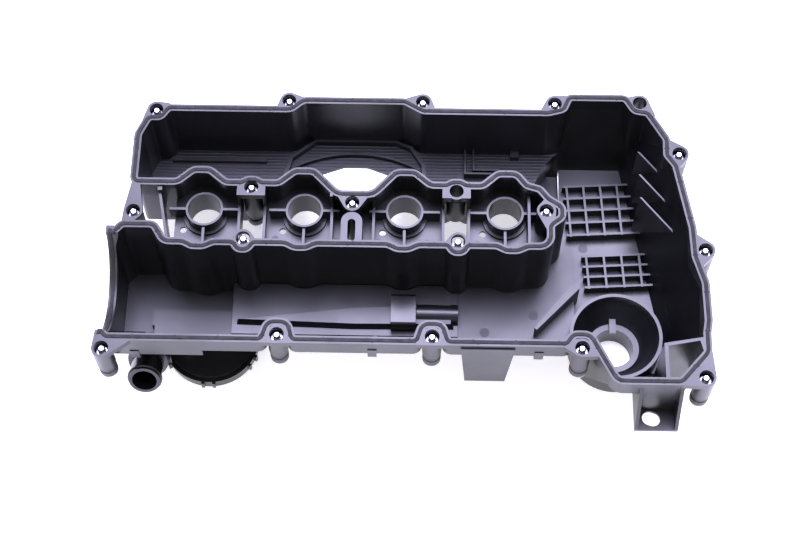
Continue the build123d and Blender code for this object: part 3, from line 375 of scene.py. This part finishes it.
# millimetres
BOLT_R = 3.0
THREAD_SUNK = 0.08  # of the ridge's middle, into the shank
THREAD_RIDGE = 0.3
THREAD_FROM = 1.4  # below the bolt's end
THREAD_LONG = 19.0
THREAD_PITCH = 1.0  # M6

thread_tree, thread_in, thread_out = new_tree(
    "rolled_thread",
    [("Radius", "NodeSocketFloat"), ("Length", "NodeSocketFloat"), ("Turns", "NodeSocketFloat"),
     ("Ridge", "NodeSocketFloat"), ("Finish", "NodeSocketMaterial")],
)
helix = node(
    thread_tree,
    "GeometryNodeCurveSpiral",
    {
        "Resolution": 18,
        "Rotations": thread_in.outputs["Turns"],
        "Start Radius": thread_in.outputs["Radius"],
        "End Radius": thread_in.outputs["Radius"],
        "Height": thread_in.outputs["Length"],
    },
)
ridge = node(
    thread_tree,
    "GeometryNodeCurvePrimitiveCircle",
    {"Resolution": 4, "Radius": thread_in.outputs["Ridge"]},
)
wound = node(
    thread_tree,
    "GeometryNodeCurveToMesh",
    {"Curve": helix.outputs[0], "Profile Curve": ridge.outputs[0], "Fill Caps": True},
)
on_bolts = node(
    thread_tree,
    "GeometryNodeInstanceOnPoints",
    {"Points": thread_in.outputs[0], "Instance": wound.outputs[0]},
)
close_tree(thread_tree, thread_out, on_bolts.outputs[0], thread_in.outputs["Finish"])

for group in ("flange_bolts", "well_bolts", "stud_bolt"):
    feet = [c - Vector((0, 0, (THREAD_FROM + THREAD_LONG) * MM)) for c in solid_centres(group)]
    grown(
        group + "_thread",
        thread_tree,
        line_mesh(group + "_feet", feet, closed=False),
        {
            "Radius": (BOLT_R - THREAD_SUNK) * MM,
            "Length": THREAD_LONG * MM,
            "Turns": THREAD_LONG / THREAD_PITCH,
            "Ridge": THREAD_RIDGE * MM,
            "Finish": ZINC,
        },
        "cover",
    )


def gasket_line():
    """The edges of the gasket's top face, each as a row of places in order."""
    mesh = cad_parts["rim_gasket"].data
    top = max(v.co.z for v in mesh.vertices)
    uses = {}
    places = {}
    for polygon in mesh.polygons:
        corners = [tuple(round(c, 6) for c in mesh.vertices[i].co) for i in polygon.vertices]
        if min(c[2] for c in corners) < top - 1e-5:
            continue
        for a, b in zip(corners, corners[1:] + corners[:1]):
            places[a] = Vector(a)
            places[b] = Vector(b)
            key = (min(a, b), max(a, b))
            uses[key] = uses.get(key, 0) + 1
    after = {}
    for (a, b), count in uses.items():
        if count == 1:
            after.setdefault(a, []).append(b)
            after.setdefault(b, []).append(a)
    loops = []
    left = set(after)
    while left:
        start = min(left)
        row = [start]
        left.discard(start)
        here = start
        while True:
            onward = [n for n in after[here] if n in left]
            if not onward:
                break
            here = onward[0]
            left.discard(here)
            row.append(here)
        loops.append([places[k] for k in row])
    return loops


# millimetres
NUB_EVERY = 37.0
NUB_LONG = 1.5
NUB_R = 0.5
NUB_SUNK = 0.55  # of a nub's middle, below the gasket's top face
SHORTEST_LOOP = 300  # only the long edges of the gasket's top face carry nubs
nub_tree, nub_in, nub_out = new_tree(
    "gasket_nubs",
    [("Spacing", "NodeSocketFloat"), ("Width", "NodeSocketFloat"), ("Radius", "NodeSocketFloat"),
     ("Finish", "NodeSocketMaterial")],
)
path = node(nub_tree, "GeometryNodeMeshToCurve", {"Mesh": nub_in.outputs[0]})
stations = node(
    nub_tree,
    "GeometryNodeCurveToPoints",
    {"Curve": path.outputs[0], "Length": nub_in.outputs["Spacing"]},
    mode="LENGTH",
)
nub = node(
    nub_tree,
    "GeometryNodeMeshCylinder",
    {"Vertices": 10, "Radius": nub_in.outputs["Radius"], "Depth": nub_in.outputs["Width"]},
)
across = node(
    nub_tree,
    "FunctionNodeAlignRotationToVector",
    {"Rotation": (0, 0, 0), "Vector": stations.outputs["Tangent"]},
    axis="X",
)
laid = node(
    nub_tree,
    "FunctionNodeRotateRotation",
    {"Rotation": across.outputs[0], "Rotate By": (math.pi / 2, 0, 0)},
    rotation_space="LOCAL",
)
on_line = node(
    nub_tree,
    "GeometryNodeInstanceOnPoints",
    {"Points": stations.outputs[0], "Instance": nub.outputs["Mesh"], "Rotation": laid.outputs[0]},
)
close_tree(nub_tree, nub_out, on_line.outputs[0], nub_in.outputs["Finish"])

for number, loop in enumerate(gasket_line()):
    length = sum((b - a).length for a, b in zip(loop, loop[1:]))
    if length < SHORTEST_LOOP * MM:
        continue
    lowered = [p - Vector((0, 0, NUB_SUNK * MM)) for p in loop]
    grown(
        f"gasket_nubs_{number}",
        nub_tree,
        line_mesh("gasket_edge", lowered, closed=True),
        {"Spacing": NUB_EVERY * MM, "Width": NUB_LONG * MM, "Radius": NUB_R * MM, "Finish": GASKET},
        "cover",
    )

MARK_PROUD = 0.3  # mm, the height of a mark's disc, half of it in the floor
# ejector pins leave shallow round marks with a duller face: place, level and radius in mm
EJECTOR_MARKS = [
    (-196, 44, -73, 4.5), (-150, 38, -73, 4.0), (-78, 33, -73, 4.5), (62, 46, -73, 4.5),
    (98, 66, -73, 4.0), (154, 37, -73, 4.5), (-104, -24, -35, 3.2), (-72, -22, -35, 3.2),
    (-16, -24, -35, 3.2), (22, -24, -35, 3.2), (66, -24, -35, 3.2), (112, -24, -35, 3.2),
    (-190, -98, -97, 4.5), (-150, -112, -97, 4.5), (-60, -104, -77, 4.0), (20, -102, -77, 4.0),
    (120, -92, -80, 4.5), (165, -74, -80, 4.5), (214, 3, -95, 4.5), (272, 0, -95, 4.5),
    (285, -58, -95, 4.5),
]
mark_tree, mark_in, mark_out = new_tree(
    "ejector_marks", [("Height", "NodeSocketFloat"), ("Finish", "NodeSocketMaterial")]
)
disc = node(
    mark_tree,
    "GeometryNodeMeshCylinder",
    {"Vertices": 28, "Radius": 1.0, "Depth": mark_in.outputs["Height"]},
    fill_type="NGON",
)
reach = node(mark_tree, "GeometryNodeInputNamedAttribute", {"Name": "reach"}, data_type="FLOAT")
sizes = node(mark_tree, "ShaderNodeCombineXYZ", {"X": reach.outputs[0], "Y": reach.outputs[0], "Z": 1.0})
on_floors = node(
    mark_tree,
    "GeometryNodeInstanceOnPoints",
    {"Points": mark_in.outputs[0], "Instance": disc.outputs["Mesh"], "Scale": sizes.outputs[0]},
)
close_tree(mark_tree, mark_out, on_floors.outputs[0], mark_in.outputs["Finish"])
mark_points = line_mesh("ejector_points", [at(x, y, z) for x, y, z, _ in EJECTOR_MARKS], closed=False)
mark_reach = mark_points.attributes.new("reach", "FLOAT", "POINT")
for index, mark in enumerate(EJECTOR_MARKS):
    mark_reach.data[index].value = mark[3] * MM
grown(
    "ejector_marks",
    mark_tree,
    mark_points,
    {"Height": MARK_PROUD * MM, "Finish": NYLON_MATT},
    "cover",
)


# ================================================================ studio
def flat_sheet(name, size, level):
    """A large flat square centred under the cover."""
    mesh = bpy.data.meshes.new(name)
    mesh.from_pydata(
        [(-size, -size, level), (size, -size, level), (size, size, level), (-size, size, level)],
        [],
        [(0, 1, 2, 3)],
    )
    obj = bpy.data.objects.new(name, mesh)
    bpy.context.scene.collection.objects.link(obj)
    return obj


def studio_paper(name):
    """White studio paper: matt, almost even, with a faint mottle 30 mm across, and a painted glow: it
    emits light of its own, though it is no lamp.
    """
    made, tree, shader, place = new_material(name)
    fibre = noise(tree, place, 30, Detail=2.0)
    tree.links.new(ramp(tree, fibre, [(0.3, "#f6f6f8"), (0.7, "#fbfbfc")]), shader.inputs["Base Color"])
    shader.inputs["Roughness"].default_value = 0.9
    shader.inputs["Specular IOR Level"].default_value = 0.1
    # painted glow: the paper emits light of its own, though it is no lamp, so that shadows on it stay
    # faint
    shader.inputs["Emission Color"].default_value = linear("#f8f6ff")
    shader.inputs["Emission Strength"].default_value = 0.6
    return made


PAPER_HALF = 8.0  # metres from its middle to each side
paper = flat_sheet("studio_paper", PAPER_HALF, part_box("post_buffers")[0].z)
paper.data.materials.append(studio_paper("glowing_white_paper"))


def softbox(name, place, aim, width, depth, power, colour):
    """A soft rectangular light that faces a point."""
    light = bpy.data.lights.new(name, "AREA")
    light.shape = "RECTANGLE"
    light.size = width
    light.size_y = depth
    light.energy = power
    light.color = linear(colour)[:3]
    obj = bpy.data.objects.new(name, light)
    bpy.context.scene.collection.objects.link(obj)
    obj.location = place
    obj.rotation_euler = (Vector(aim) - Vector(place)).to_track_quat("-Z", "Y").to_euler()
    return obj


# place and aim in metres, then width, depth, watts and colour
softbox("overhead_box", (0.1, 0.72, 2.1), (0.05, 0.0, 0.05), 1.7, 1.75, 165, "#dcd8ff")
softbox("front_fill", (-0.3, -2.2, 1.7), (0, 0, 0), 2.2, 1.4, 22, "#fffaf2")

world = bpy.data.worlds.new("soft_room")
bpy.context.scene.world = world
world.use_nodes = True
world.node_tree.nodes["Background"].inputs["Color"].default_value = linear("#f4f4fa")
world.node_tree.nodes["Background"].inputs["Strength"].default_value = 0.9

CAMERA_PLACE = (0.0102, -0.6820, 1.4641)
CAMERA_TURN = (25.999, 0.202, 1.087)  # degrees about X, Y and Z
lens = bpy.data.cameras.new("camera")
lens.lens = 76.5
lens.sensor_width = 36.0
camera = bpy.data.objects.new("camera", lens)
camera.location = CAMERA_PLACE
camera.rotation_euler = [math.radians(a) for a in CAMERA_TURN]
bpy.context.scene.collection.objects.link(camera)
bpy.context.scene.camera = camera
bpy.context.scene.view_settings.view_transform = "Standard"
